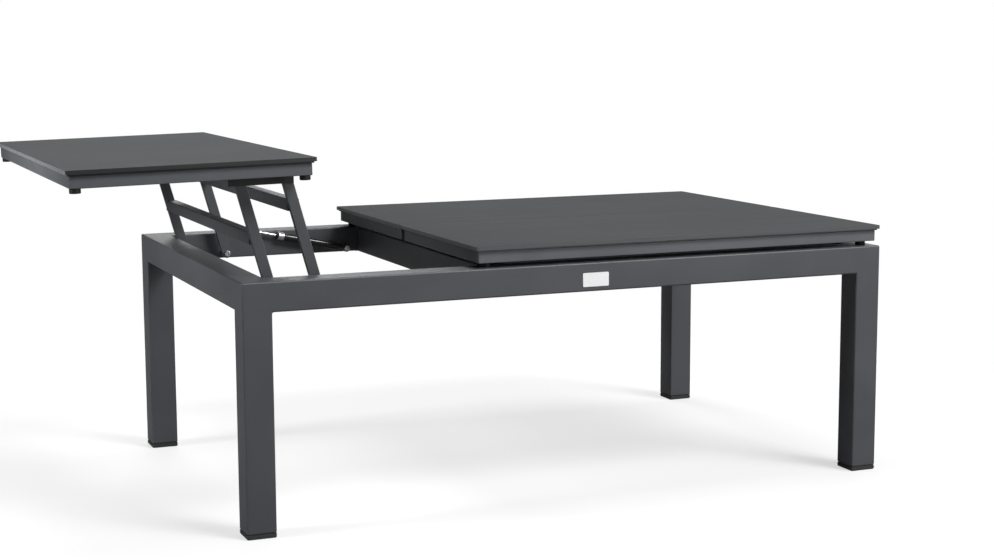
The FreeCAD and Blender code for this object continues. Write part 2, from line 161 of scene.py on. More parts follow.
@dataclass(frozen=True)
class Span:
    """A box, from its lowest to its highest corner."""

    low: Vector
    high: Vector

    @classmethod
    def of_points(cls, points: list[Vector]) -> "Span":
        """Return the box round some points.

        Args:
            points: The points.

        Returns:
            The box that holds them all.
        """
        low = Vector([min(point[axis] for point in points) for axis in range(3)])
        high = Vector([max(point[axis] for point in points) for axis in range(3)])
        return cls(low, high)

    @classmethod
    def of_nodes(cls, *nodes: str) -> "Span":
        """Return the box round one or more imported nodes."""
        return cls.of_points([Vector(corner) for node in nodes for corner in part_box(node)])

    @classmethod
    def about(cls, centre: Vector, size: Vector) -> "Span":
        """Return the box of a given size about a centre."""
        return cls(centre - size / 2, centre + size / 2)

    @property
    def centre(self) -> Vector:
        """Return the middle of the box."""
        return (self.low + self.high) / 2

    @property
    def size(self) -> Vector:
        """Return the lengths of the box along X, Y and Z."""
        return self.high - self.low

    def level(self, tilt: float) -> "Span":
        """Return the box as it was before a turn about Y.

        Args:
            tilt: The size of the turn.

        Returns:
            A box with the same middle and the piece's own length and height.
        """
        cosine, sine = math.cos(math.radians(tilt)), abs(math.sin(math.radians(tilt)))
        share = cosine * cosine - sine * sine
        length = (self.size.x * cosine - self.size.z * sine) / share
        height = (self.size.z * cosine - self.size.x * sine) / share
        return Span.about(self.centre, Vector((length, self.size.y, height)))


def solids_of(node: str, *cuts: Axis) -> list[Span]:
    """Split a node of several like solids into the box of each.

    Args:
        node: Name of the node.
        cuts: The axes along which the solids lie on both sides of the node's middle.

    Returns:
        One box for each solid, in rising order along the axes.
    """
    middle = Span.of_nodes(node).centre
    groups: dict[tuple[bool, ...], list[Vector]] = {}
    for vertex in frame["nodes"][node].data.vertices:
        key = tuple(vertex.co[cut.value] > middle[cut.value] for cut in cuts)
        groups.setdefault(key, []).append(vertex.co)
    return [Span.of_points(groups[key]) for key in sorted(groups)]


def joint(name: str) -> dict[str, object]:
    """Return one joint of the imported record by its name."""
    return next(item for item in frame["joints"] if item["name"] == name)


def raised_tilt() -> float:
    """Return how far the raised panel is turned about Y."""
    return joint("left_arm_hinge")["range_deg"][1] + joint("lift_top_hinge")["range_deg"][0]


def turn_y(angle: float) -> Matrix:
    """Return a turn in the XZ plane, counterclockwise as seen from the front."""
    return Matrix.Rotation(-math.radians(angle), 4, "Y")


def axis_turn(direction: Vector) -> Matrix:
    """Return the turn that lays the Z axis along a direction."""
    return direction.to_track_quat("Z", "X").to_matrix().to_4x4()


def runs_along(axis: Axis) -> Rule:
    """Return a rule that holds for edges along an axis, or for faces square to it."""
    return lambda middle, direction: abs(direction[axis.value]) > ALONG


def looks(way: Vector) -> Rule:
    """Return a rule that holds for faces that look exactly one way."""
    return lambda middle, normal: normal.dot(way) > EXACTLY_ALONG


def eased_rim(
    end: float, radius: float, edge: float, way: int = 1, along: float = EASE_SHARE,
) -> Profile:
    """Return the outline of a round piece's eased rim.

    Args:
        end: Where the piece ends.
        radius: Radius of the piece.
        edge: Size of the easing.
        way: 1 where the piece goes on from its end with rising height, or else -1.
        along: How far in the middle point lies along the axis, as a share of the easing.

    Returns:
        Three pairs of height and radius, in rising order of height.
    """
    rim = [
        (end, radius - edge), (end + way * edge * along, radius - edge * EASE_SHARE),
        (end + way * edge, radius),
    ]
    return rim[::way]


class Bench:
    """The modelling bench: each piece is made here with Blender's own operators."""

    @staticmethod
    def clear() -> None:
        """Leave edit mode and deselect everything."""
        active = bpy.context.view_layer.objects.active
        if active is not None and active.mode != "OBJECT":
            bpy.ops.object.mode_set(mode="OBJECT")
        bpy.ops.object.select_all(action="DESELECT")

    @classmethod
    def take(cls, piece: Piece) -> None:
        """Make a piece the only selected one, and the active one.

        Args:
            piece: The piece.
        """
        cls.clear()
        piece.select_set(True)
        bpy.context.view_layer.objects.active = piece

    @staticmethod
    def named(name: str) -> Piece:
        """Name the active object and its mesh.

        Args:
            name: Their name.

        Returns:
            The object.
        """
        piece = bpy.context.view_layer.objects.active
        piece.name = name
        piece.data.name = name
        return piece

    @classmethod
    def settle(cls, name: str) -> Piece:
        """Move the place of the new active object into its mesh, and return it named."""
        bpy.ops.object.transform_apply(location=True, rotation=True, scale=True)
        return cls.named(name)

    @classmethod
    def block(cls, name: str, span: Span) -> Piece:
        """Add a box.

        Args:
            name: Name of the piece.
            span: The box that it fills.

        Returns:
            The new piece, with its place in its mesh.
        """
        cls.clear()
        bpy.ops.mesh.primitive_cube_add(size=1.0, location=span.centre, scale=span.size)
        return cls.settle(name)

    @classmethod
    def prism(cls, name: str, radius: float, height: float, sides: int) -> Piece:
        """Add an upright prism that stands on the origin.

        Args:
            name: Name of the piece.
            radius: Distance of its corners from its axis.
            height: Its height along Z.
            sides: How many sides it has.

        Returns:
            The new piece.
        """
        cls.clear()
        bpy.ops.mesh.primitive_cylinder_add(
            vertices=sides, radius=radius, depth=height, location=(0, 0, height / 2),
        )
        return cls.settle(name)

    @classmethod
    def turned(cls, name: str, profile: Profile, sides: int = 40) -> Piece:
        """Turn a solid about Z, as on a lathe.

        Args:
            name: Name of the piece.
            profile: Pairs of height and radius, from one end to the other.
            sides: How many sides its round has.

        Returns:
            The new piece, closed by a flat face at each end.
        """
        cls.clear()
        height, radius = profile[0]
        bpy.ops.mesh.primitive_circle_add(
            vertices=sides, radius=radius, fill_type="NGON", location=(0, 0, height),
        )
        piece = cls.settle(name)
        with cls.editing(piece):
            bpy.ops.mesh.select_all(action="SELECT")
            for next_height, next_radius in profile[1:]:
                cls.extrude(Vector((0, 0, next_height - height)))
                scale = next_radius / radius
                bpy.ops.transform.resize(
                    value=(scale, scale, 1.0), center_override=(0, 0, next_height),
                )
                height, radius = next_height, next_radius
            bpy.ops.mesh.select_all(action="SELECT")
            bpy.ops.mesh.normals_make_consistent(inside=False)
        return piece

    @classmethod
    @contextmanager
    def editing(cls, piece: Piece, kind: str = "FACE") -> Iterator[None]:
        """Open a piece in edit mode with nothing selected.

        Args:
            piece: The piece to open.
            kind: What is picked in it: VERT, EDGE or FACE.

        Yields:
            Nothing; edit mode ends with the block.
        """
        cls.take(piece)
        bpy.ops.object.mode_set(mode="EDIT")
        bpy.ops.mesh.select_mode(type=kind)
        bpy.ops.mesh.select_all(action="DESELECT")
        yield
        bpy.ops.object.mode_set(mode="OBJECT")

    @staticmethod
    def facing(part: bmesh.types.BMEdge | bmesh.types.BMFace) -> tuple[Vector, Vector]:
        """Return what a rule is asked about an edge or a face.

        Args:
            part: The edge or face.

        Returns:
            Its middle, and an edge's direction or a face's normal.
        """
        if isinstance(part, bmesh.types.BMFace):
            return part.calc_center_median(), part.normal
        start, end = part.verts[0].co, part.verts[1].co
        return (start + end) / 2, (end - start).normalized()

    @classmethod
    def pick(cls, piece: Piece, rule: Rule) -> None:
        """Select just the parts of an open piece that meet a rule.

        Args:
            piece: The piece, opened for its edges or its faces.
            rule: Says of a part's middle and direction whether it is picked.
        """
        mesh = bmesh.from_edit_mesh(piece.data)
        parts = mesh.edges if "EDGE" in mesh.select_mode else mesh.faces
        for part in parts:
            part.select_set(False)
        for part in parts:
            if rule(*cls.facing(part)):
                part.select_set(True)
        mesh.select_flush_mode()
        bmesh.update_edit_mesh(piece.data)

    @staticmethod
    def extrude(step: Vector) -> None:
        """Extrude the picked faces of the open piece by a step."""
        bpy.ops.mesh.extrude_region_move(TRANSFORM_OT_translate={"value": tuple(step)})

    @staticmethod
    def cut(point: Vector, normal: Vector) -> None:
        """Cut the whole open piece along a plane, and keep both halves."""
        bpy.ops.mesh.select_all(action="SELECT")
        bpy.ops.mesh.bisect(plane_co=point, plane_no=normal)

    @staticmethod
    def merge_flat(angle: float = 0.5) -> None:
        """Join the open piece's faces that turn by less than an angle."""
        bpy.ops.mesh.select_all(action="SELECT")
        bpy.ops.mesh.dissolve_limited(angle_limit=math.radians(angle))

    @classmethod
    def ring(cls, name: str, span: Span, width: float) -> Piece:
        """Add a flat box with a hole that leaves a band of one width all round.

        Args:
            name: Name of the piece.
            span: The box that it fills.
            width: Width of the band.

        Returns:
            The new piece, with a mitred seam at each corner.
        """
        piece = cls.block(name, span)
        with cls.editing(piece):
            cls.pick(piece, runs_along(Axis.Z))
            bpy.ops.mesh.inset(thickness=width, use_individual=True)
            bpy.ops.mesh.bridge_edge_loops()
        return piece

    @classmethod
    def round_edges(cls, piece: Piece, rule: Rule, radius: float, steps: int) -> None:
        """Round the edges of a piece that meet a rule.

        Args:
            piece: The piece.
            rule: Says of an edge's middle and direction whether it is rounded.
            radius: Radius of the rounding.
            steps: How many flat steps make the round.
        """
        with cls.editing(piece, "EDGE"):
            cls.pick(piece, rule)
            bpy.ops.mesh.bevel(offset=radius, segments=steps, affect="EDGES", clamp_overlap=True)

    @classmethod
    def modify(cls, piece: Piece, kind: str, **settings: object) -> None:
        """Give a piece a modifier and apply it.

        Args:
            piece: The piece.
            kind: The modifier's kind.
            settings: The modifier's settings.
        """
        cls.take(piece)
        modifier = piece.modifiers.new(kind.lower(), kind)
        for name, value in settings.items():
            setattr(modifier, name, value)
        bpy.ops.object.modifier_apply(modifier=modifier.name)

    @classmethod
    def soften(cls, piece: Piece, radius: float, steps: int = 2, angle: float = 30.0) -> None:
        """Round every edge of a piece that is sharper than an angle.

        Args:
            piece: The piece.
            radius: Radius of the rounding.
            steps: How many flat steps make the round.
            angle: Least turn between two faces at an edge that is rounded.
        """
        cls.modify(
            piece, "BEVEL", width=radius, segments=steps, limit_method="ANGLE",
            angle_limit=math.radians(angle), use_clamp_overlap=True,
        )

    @classmethod
    def subtract(cls, piece: Piece, cutter: Piece) -> None:
        """Cut a cutter's shape out of a piece, and remove the cutter."""
        cls.modify(piece, "BOOLEAN", operation="DIFFERENCE", solver="EXACT", object=cutter)
        bpy.data.objects.remove(cutter)

    @classmethod
    def place(cls, piece: Piece, at: Vector, turn: Matrix | None = None) -> Piece:
        """Turn a piece about the origin and move it, all within its mesh.

        Args:
            piece: The piece, modelled at the origin.
            at: Where its origin goes.
            turn: The turn that comes first, if any.

        Returns:
            The same piece.
        """
        cls.take(piece)
        piece.matrix_world = Matrix.Translation(at) @ (turn or Matrix.Identity(4))
        bpy.ops.object.transform_apply(location=True, rotation=True, scale=True)
        return piece

    @classmethod
    def tilt(cls, piece: Piece, centre: Vector, angle: float) -> None:
        """Turn a piece that was modelled level about the Y axis through a point."""
        cls.place(piece, -centre)
        cls.place(piece, centre, turn_y(angle))

    @classmethod
    def copy(cls, piece: Piece, name: str) -> Piece:
        """Copy a piece, with a mesh of its own.

        Args:
            piece: The piece that is copied.
            name: Name of the copy.

        Returns:
            The copy.
        """
        cls.take(piece)
        bpy.ops.object.duplicate(linked=False)
        return cls.named(name)

    @classmethod
    def join(cls, pieces: list[Piece], name: str) -> Piece:
        """Join several solids into one piece.

        Args:
            pieces: The solids.
            name: Name of the piece.

        Returns:
            The piece, which is the first of them.
        """
        cls.clear()
        for piece in pieces:
            piece.select_set(True)
        bpy.context.view_layer.objects.active = pieces[0]
        bpy.ops.object.join()
        return cls.named(name)

    @classmethod
    def smooth(cls, piece: Piece, angle: float = 35.0) -> None:
        """Shade a piece smoothly apart from its sharp edges, with its large flats kept flat.

        Args:
            piece: The piece.
            angle: Edges sharper than this stay sharp.
        """
        cls.take(piece)
        bpy.ops.object.shade_smooth_by_angle(angle=math.radians(angle))
        cls.modify(piece, "WEIGHTED_NORMAL", keep_sharp=True)


class Sheet:
    """A node tree, with short calls for the nodes that finishes and surroundings use."""

    def __init__(self, tree: bpy.types.NodeTree, place: str) -> None:
        """Start on a tree.

        Args:
            tree: The tree of a material or a world.
            place: Which texture coordinates its patterns read.
        """
        self.tree = tree
        self.place = self.add("ShaderNodeTexCoord").outputs[place]

    def add(self, kind: str) -> bpy.types.Node:
        """Add one node of a kind."""
        return self.tree.nodes.new(kind)

    def link(self, source: Socket, target: Socket) -> None:
        """Link two sockets."""
        self.tree.links.new(source, target)

    def math(self, operation: str, *values: Socket | float) -> Socket:
        """Add a sum of one, two or three values.

        Args:
            operation: Name of the sum.
            values: Sockets or plain numbers, in the sum's order.

        Returns:
            Its result.
        """
        node = self.add("ShaderNodeMath")
        node.operation = operation
        for value, target in zip(values, node.inputs):
            if isinstance(value, Socket):
                self.link(value, target)
            else:
                target.default_value = value
        return node.outputs["Value"]

    def ranged(self, value: Socket, ends: tuple[float, float], low: float, high: float) -> Socket:
        """Spread a value smoothly from one range to another.

        Args:
            value: The value.
            ends: The range that it comes in.
            low: What the first end turns into.
            high: What the second end turns into.

        Returns:
            The new value, kept between the two.
        """
        node = self.add("ShaderNodeMapRange")
        node.interpolation_type = "SMOOTHSTEP"
        node.inputs["From Min"].default_value = ends[0]
        node.inputs["From Max"].default_value = ends[1]
        node.inputs["To Min"].default_value = low
        node.inputs["To Max"].default_value = high
        self.link(value, node.inputs["Value"])
        return node.outputs["Result"]


class ShaderSheet(Sheet):
    """The node sheet of one material."""

    def __init__(self, name: str) -> None:
        """Start a sheet with a principled shader, its output and the object's coordinates.

        Args:
            name: Name of the material.
        """
        self.material = bpy.data.materials.new(name)
        self.material.use_nodes = True
        self.material.node_tree.nodes.clear()
        super().__init__(self.material.node_tree, "Object")
        self.shader = self.add("ShaderNodeBsdfPrincipled")
        output = self.add("ShaderNodeOutputMaterial")
        self.link(self.shader.outputs["BSDF"], output.inputs["Surface"])

    def set(self, **values: object) -> None:
        """Set sockets of the shader, named with _ for each space, to constant values."""
        for name, value in values.items():
            self.shader.inputs[name.replace("_", " ")].default_value = value

    def stretched(self, scale: tuple[float, float, float]) -> Socket:
        """Return the object's coordinates, scaled along each axis.

        Args:
            scale: The scale along X, Y and Z.

        Returns:
            The scaled coordinates.
        """
        mapping = self.add("ShaderNodeMapping")
        mapping.inputs["Scale"].default_value = scale
        self.link(self.place, mapping.inputs["Vector"])
        return mapping.outputs["Vector"]

    def noise(self, scale: float, detail: float = 2.0, at: Socket | None = None) -> Socket:
        """Add a noise pattern.

        Args:
            scale: How many of its cells lie in a metre.
            detail: How many finer layers it has.
            at: Coordinates that it reads, or none for the object's own.

        Returns:
            The pattern's value.
        """
        node = self.add("ShaderNodeTexNoise")
        node.inputs["Scale"].default_value = scale
        node.inputs["Detail"].default_value = detail
        self.link(at or self.place, node.inputs["Vector"])
        return node.outputs["Fac"]

    def colour(self, pattern: Socket, first: Colour, second: Colour) -> None:
        """Colour the surface between two tones.

        Args:
            pattern: A noise pattern.
            first: The colour of its low parts.
            second: The colour of its high parts.
        """
        node = self.add("ShaderNodeMix")
        node.data_type = "RGBA"
        self.link(self.ranged(pattern, NOISE_RANGE, 0.0, 1.0), node.inputs["Factor"])
        tones = [item for item in node.inputs if item.type == "RGBA"]
        tones[0].default_value = first
        tones[1].default_value = second
        result = next(item for item in node.outputs if item.type == "RGBA")
        self.link(result, self.shader.inputs["Base Color"])

    def grain(self, pattern: Socket, smooth: float, rough: float, depth: float) -> None:
        """Give the surface its roughness and relief from one pattern.

        Args:
            pattern: A noise pattern.
            smooth: Roughness of its low parts.
            rough: Roughness of its high parts.
            depth: Height of its relief.
        """
        roughness = self.ranged(pattern, NOISE_RANGE, smooth, rough)
        self.link(roughness, self.shader.inputs["Roughness"])
        node = self.add("ShaderNodeBump")
        node.inputs["Distance"].default_value = depth
        self.link(pattern, node.inputs["Height"])
        self.link(node.outputs["Normal"], self.shader.inputs["Normal"])


def grey(red: float, green: float, blue: float) -> Colour:
    """Return an opaque colour from linear red, green and blue."""
    return (red, green, blue, 1.0)


WHITE = grey(1.0, 1.0, 1.0)


@dataclass(frozen=True)
class Finish:
    """What every finish has: two tones and two roughnesses, between which its surface varies."""

    name: str
    dark: Colour
    light: Colour
    smooth: float
    rough: float

    def material(self) -> bpy.types.Material:
        """Make the finish into a node material.

        Returns:
            The new material.
        """
        sheet = ShaderSheet(self.name)
        self.lay(sheet)
        return sheet.material

    def lay(self, sheet: ShaderSheet) -> None:
        """Lay the finish on an empty sheet, which each kind of finish does in its own way."""
        raise NotImplementedError


@dataclass(frozen=True)
class PowderCoat(Finish):
    """Satin anthracite powder coat, with the fine orange peel of a baked paint."""

    name: str = "anthracite_powder_coat"
    dark: Colour = grey(0.0640, 0.0672, 0.0748)
    light: Colour = grey(0.0748, 0.0781, 0.0857)
    smooth: float = 0.40
    rough: float = 0.50
    patch_scale: float = 9.0
    patch_detail: float = 3.0
    peel_scale: float = 620.0
    peel_depth: float = 0.00004

    def lay(self, sheet: ShaderSheet) -> None:
        """Lay faint patches of tone and the orange peel."""
        sheet.colour(sheet.noise(self.patch_scale, self.patch_detail), self.dark, self.light)
        sheet.grain(sheet.noise(self.peel_scale), self.smooth, self.rough, self.peel_depth)


@dataclass(frozen=True)
class CompactBoard(Finish):
    """Matt slate-grey compact board: faint streaks along its length and a fine stone tooth."""

    name: str = "slate_compact_board"
    dark: Colour = grey(0.0399, 0.0422, 0.0447)
    light: Colour = grey(0.0458, 0.0485, 0.0508)
    smooth: float = 0.80
    rough: float = 0.88
    streak_scale: tuple[float, float, float] = (2.2, 26.0, 26.0)
    streak_detail: float = 4.0
    streak_share: float = 0.55
    cloud_scale: float = 5.0
    tooth_scale: float = 1400.0
    tooth_detail: float = 3.0
    tooth_depth: float = 0.00003
    gloss: float = 0.17

    def lay(self, sheet: ShaderSheet) -> None:
        """Lay streaks and clouds of tone, the stone tooth and the matt top coat.

        Args:
            sheet: The sheet of the material.
        """
        streaks = sheet.noise(1.0, self.streak_detail, sheet.stretched(self.streak_scale))
        clouds = sheet.math("MULTIPLY", sheet.noise(self.cloud_scale), 1.0 - self.streak_share)
        tone = sheet.math("MULTIPLY_ADD", streaks, self.streak_share, clouds)
        sheet.colour(tone, self.dark, self.light)
        tooth = sheet.noise(self.tooth_scale, self.tooth_detail)
        sheet.grain(tooth, self.smooth, self.rough, self.tooth_depth)
        sheet.set(Specular_IOR_Level=self.gloss)


@dataclass(frozen=True)
class BoardEdge(Finish):
    """Sanded edge of the compact board: thin pressed layers, paler at a glancing angle."""

    name: str = "board_edge"
    dark: Colour = grey(0.0570, 0.0605, 0.0640)
    light: Colour = grey(0.0730, 0.0770, 0.0810)
    smooth: float = 0.34
    rough: float = 0.42
    layer_scale: tuple[float, float, float] = (6.0, 6.0, 2400.0)
    layer_depth: float = 0.00001
    bloom: float = 0.4

    def lay(self, sheet: ShaderSheet) -> None:
        """Lay the pressed layers and the pale bloom.

        Args:
            sheet: The sheet of the material.
        """
        layers = sheet.noise(1.0, at=sheet.stretched(self.layer_scale))
        sheet.colour(layers, self.dark, self.light)
        sheet.grain(layers, self.smooth, self.rough, self.layer_depth)
        sheet.set(Sheen_Weight=self.bloom)


@dataclass(frozen=True)
class Moulded(Finish):
    """Moulded plastic or rubber, or a thick gloss paint, with the grain of its surface."""

    dark: Colour = grey(0.0080, 0.0080, 0.0090)
    light: Colour = grey(0.0140, 0.0140, 0.0150)
    smooth: float = 0.55
    rough: float = 0.75
    grain_scale: float = 900.0
    grain_detail: float = 3.0
    grain_depth: float = 0.00005

    def lay(self, sheet: ShaderSheet) -> None:
        """Lay one grain, in tone and in relief.

        Args:
            sheet: The sheet of the material.
        """
        grain = sheet.noise(self.grain_scale, self.grain_detail)
        sheet.colour(grain, self.dark, self.light)
        sheet.grain(grain, self.smooth, self.rough, self.grain_depth)


@dataclass(frozen=True)
class BrightMetal(Finish):
    """Plated or polished steel, with fine turning marks and slightly uneven plating."""

    dark: Colour = grey(0.52, 0.52, 0.53)
    light: Colour = grey(0.72, 0.72, 0.73)
    smooth: float = 0.22
    rough: float = 0.38
    mark_scale: float = 1600.0
    plating_scale: float = 160.0
    mark_depth: float = 0.00001

    def lay(self, sheet: ShaderSheet) -> None:
        """Lay the plating and the turning marks on bare metal.

        Args:
            sheet: The sheet of the material.
        """
        sheet.colour(sheet.noise(self.plating_scale), self.dark, self.light)
        sheet.grain(sheet.noise(self.mark_scale), self.smooth, self.rough, self.mark_depth)
        sheet.set(Metallic=1.0)


class Finishes:
    """Every finish of the table, made once and handed out by slot."""

    def __init__(self) -> None:
        """Make one material for each slot, and those of edges, brackets and panel tubes, some of
        them with painted light or shade.
        """
        slots: dict[Slot, Finish] = {
            Slot.FRAME: PowderCoat(),
            Slot.BOARD: CompactBoard(),
            Slot.FOOT: Moulded(
                "foot_plastic", grey(0.032, 0.032, 0.034), grey(0.044, 0.044, 0.046),
                smooth=0.45, rough=0.60,
            ),
            Slot.RUBBER: Moulded(
                "pad_rubber", grey(0.0020, 0.0020, 0.0024), grey(0.0040, 0.0040, 0.0046),
            ),
            Slot.PLATE: Moulded(
                "off_white_plate", grey(0.93, 0.94, 0.95), grey(0.97, 0.975, 0.98),
                grain_scale=300.0, grain_depth=0.00001, smooth=0.28, rough=0.36,
            ),
            Slot.STEEL: BrightMetal("zinc_plated_steel"),
            Slot.ROD: BrightMetal("polished_rod", smooth=0.08, rough=0.14),
            Slot.STRUT: Moulded("gloss_black_tube", grain_depth=0.00001, smooth=0.16, rough=0.24),
        }
        self.by_slot = {slot: finish.material() for slot, finish in slots.items()}
        fixed_edge = BoardEdge().material()
        # Painted shade: the lifting board's long edges are a darkened copy of the board edge, for
        # the little light on its front.
        long_edge = BoardEdge(
            "lift_board_long_edge", grey(0.016, 0.017, 0.018), grey(0.021, 0.022, 0.0235),
        )
        # Painted highlight: its end edges are a paled copy, for the left light catching its left
        # end.
        end_edge = BoardEdge(
            "lift_board_end_edge", grey(0.150, 0.159, 0.168), grey(0.190, 0.200, 0.212), bloom=1.0,
        )
        self.board_edges: dict[Panel, tuple[bpy.types.Material, bpy.types.Material]] = {
            Panel.FRONT: (fixed_edge, fixed_edge),
            Panel.REAR: (fixed_edge, fixed_edge),
            Panel.LIFT: (long_edge.material(), end_edge.material()),
        }
        # Painted shade: the brackets are a darkened copy of the powder coat, for the shadow under
        # the raised panel.
        self.bracket = PowderCoat(
            "bracket_powder_coat", grey(0.012, 0.0125, 0.0135), grey(0.016, 0.0165, 0.018),
        ).material()
        # Painted light: the panel tubes are a lightened copy of the frame's powder coat, for their
        # brighter fronts.
        self.panel_tube = PowderCoat(
            "panel_tube_powder_coat", grey(0.0968, 0.1018, 0.1133), grey(0.1133, 0.1182, 0.1297),
        ).material()

    def dress(self, piece: Piece, slot: Slot) -> None:
        """Give a piece, new or packed, the finish of a slot."""
        piece.data.materials.clear()
        piece.data.materials.append(self.by_slot[slot])


@dataclass
class Assembly:
    """What every sub-assembly shares: the finishes, and how its pieces are handed over."""

    finishes: Finishes

    def hand_over(self, piece: Piece, body: Body, slot: Slot, *nodes: str) -> Piece:
        """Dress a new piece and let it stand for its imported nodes.

        Args:
            piece: The finished mesh.
            body: The body that it moves with.
            slot: Its finish.
            nodes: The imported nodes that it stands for.

        Returns:
            The same piece.
        """
        Bench.smooth(piece)
        self.finishes.dress(piece, slot)
        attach(piece, body.value)
        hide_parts(*nodes)
        log.info("%s rides on %s, %d faces", piece.name, body.value, len(piece.data.polygons))
        return piece

    def keep(self, slot: Slot, *nodes: str) -> None:
        """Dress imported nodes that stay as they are.

        Args:
            slot: Their finish.
            nodes: Names of the nodes.
        """
        for node in nodes:
            self.finishes.dress(frame["nodes"][node], slot)
            log.info("%s stays, as %s", node, slot.value)


@dataclass
class BaseFrame(Assembly):
    """The welded base frame, its foot caps and the blank plate."""

    edge_radius: float = 0.003
    edge_steps: int = 3
    weld_leg: float = 0.003
    cap_gap: float = 0.0006
    cap_rim: float = 0.0025
    cap_recess_margin: float = 0.008
    cap_recess_depth: float = 0.0015
    plate_corner: float = 0.002
    plate_corner_steps: int = 4
    plate_edge: float = 0.00025
    plate_edge_angle: float = 50.0

    def build(self) -> None:
        """Make every piece of the base."""
        self.welded_frame()
        self.inner_rail("cross", Axis.Y)
        self.inner_rail("middle", Axis.X)
        self.foot_caps()
        self.blank_plate()

    def welded_frame(self) -> None:
        """Make the four rails and four legs as one welded and ground frame."""
        rails = [f"rail_{place.word}" for place in (*Side, *End)]
        legs = [f"leg_{side.word}_{end.word}" for side in Side for end in End]
        ring = Span.of_nodes(*rails)
        profile = ring.size.z
        drop = ring.low.z - Span.of_nodes(*legs).low.z
        piece = Bench.ring("welded_frame", ring, profile)
        inner_x = (ring.low.x + profile, ring.high.x - profile)
        inner_y = (ring.low.y + profile, ring.high.y - profile)

        def under_corner(middle: Vector, normal: Vector) -> bool:
            """Say whether a face is the underside of one corner of the ring.

            Args:
                middle: Middle of the face.
                normal: Its normal.

            Returns:
                True for the faces that the legs grow from.
            """
            along = not inner_x[0] < middle.x < inner_x[1]
            across = not inner_y[0] < middle.y < inner_y[1]
            return normal.z < -ALONG and along and across

        with Bench.editing(piece):
            for x in inner_x:
                Bench.cut(Vector((x, 0, 0)), Vector((1, 0, 0)))
            for y in inner_y:
                Bench.cut(Vector((0, y, 0)), Vector((0, 1, 0)))
            Bench.pick(piece, under_corner)
            Bench.extrude(Vector((0, 0, -drop)))
            Bench.merge_flat()
        Bench.soften(piece, self.edge_radius, self.edge_steps)
        self.hand_over(piece, Body.BASE, Slot.FRAME, *rails, *legs)

    def inner_rail(self, name: str, along: Axis) -> None:
        """Make a rail inside the ring, with its weld at each end.

        Args:
            name: Which rail: cross or middle.
            along: The axis that it runs along.
        """
        node = f"rail_{name}"
        span = Span.of_nodes(node)
        step = Vector([self.weld_leg * (axis is along) for axis in Axis])
        spread = 1 + 2 * self.weld_leg / span.size.z
        piece = Bench.block(f"{name}_rail", span)
        with Bench.editing(piece):
            for end in (span.low + step, span.high - step):
                Bench.cut(end, step.normalized())
            Bench.pick(piece, runs_along(along))
            bpy.ops.transform.resize(
                value=(spread, 1, 1) if along is Axis.Y else (1, spread, 1),
                center_override=span.centre,
            )
        Bench.round_edges(piece, runs_along(along), self.edge_radius, self.edge_steps)
        self.hand_over(piece, Body.BASE, Slot.FRAME, node)

    def foot_caps(self) -> None:
        """Make one foot cap, with a shadow gap above and a hollow below, and copy it."""
        master_node = "foot_front_left"
        span = Span.of_nodes(master_node)
        top = Span.of_nodes("leg_front_left").low.z - self.cap_gap
        master = Bench.block("foot_cap_master", Span(span.low, Vector((*span.high.xy, top))))
        Bench.round_edges(master, runs_along(Axis.Z), self.edge_radius, self.edge_steps)
        Bench.round_edges(
            master, lambda middle, direction: middle.z < span.low.z + self.cap_gap,
            self.cap_rim, self.edge_steps,
        )
        with Bench.editing(master):
            Bench.pick(master, looks(Vector((0, 0, 1))))
            bpy.ops.mesh.inset(thickness=self.cap_gap * 2)
            Bench.extrude(Vector((0, 0, self.cap_gap)))
            Bench.pick(master, looks(Vector((0, 0, -1))))
            bpy.ops.mesh.inset(thickness=self.cap_recess_margin)
            Bench.extrude(Vector((0, 0, self.cap_recess_depth)))
        for side in Side:
            for end in End:
                node = f"foot_{side.word}_{end.word}"
                cap = Bench.copy(master, f"foot_cap_{side.word}_{end.word}")
                Bench.place(cap, Span.of_nodes(node).centre - span.centre)
                self.hand_over(cap, Body.BASE, Slot.FOOT, node)
        bpy.data.objects.remove(master)

    def blank_plate(self) -> None:
        """Make the plain plate on the front rail."""
        piece = Bench.block("blank_plate", Span.of_nodes("blank_badge"))
        Bench.round_edges(piece, runs_along(Axis.Y), self.plate_corner, self.plate_corner_steps)
        Bench.soften(piece, self.plate_edge, angle=self.plate_edge_angle)
        self.hand_over(piece, Body.BASE, Slot.PLATE, "blank_badge")


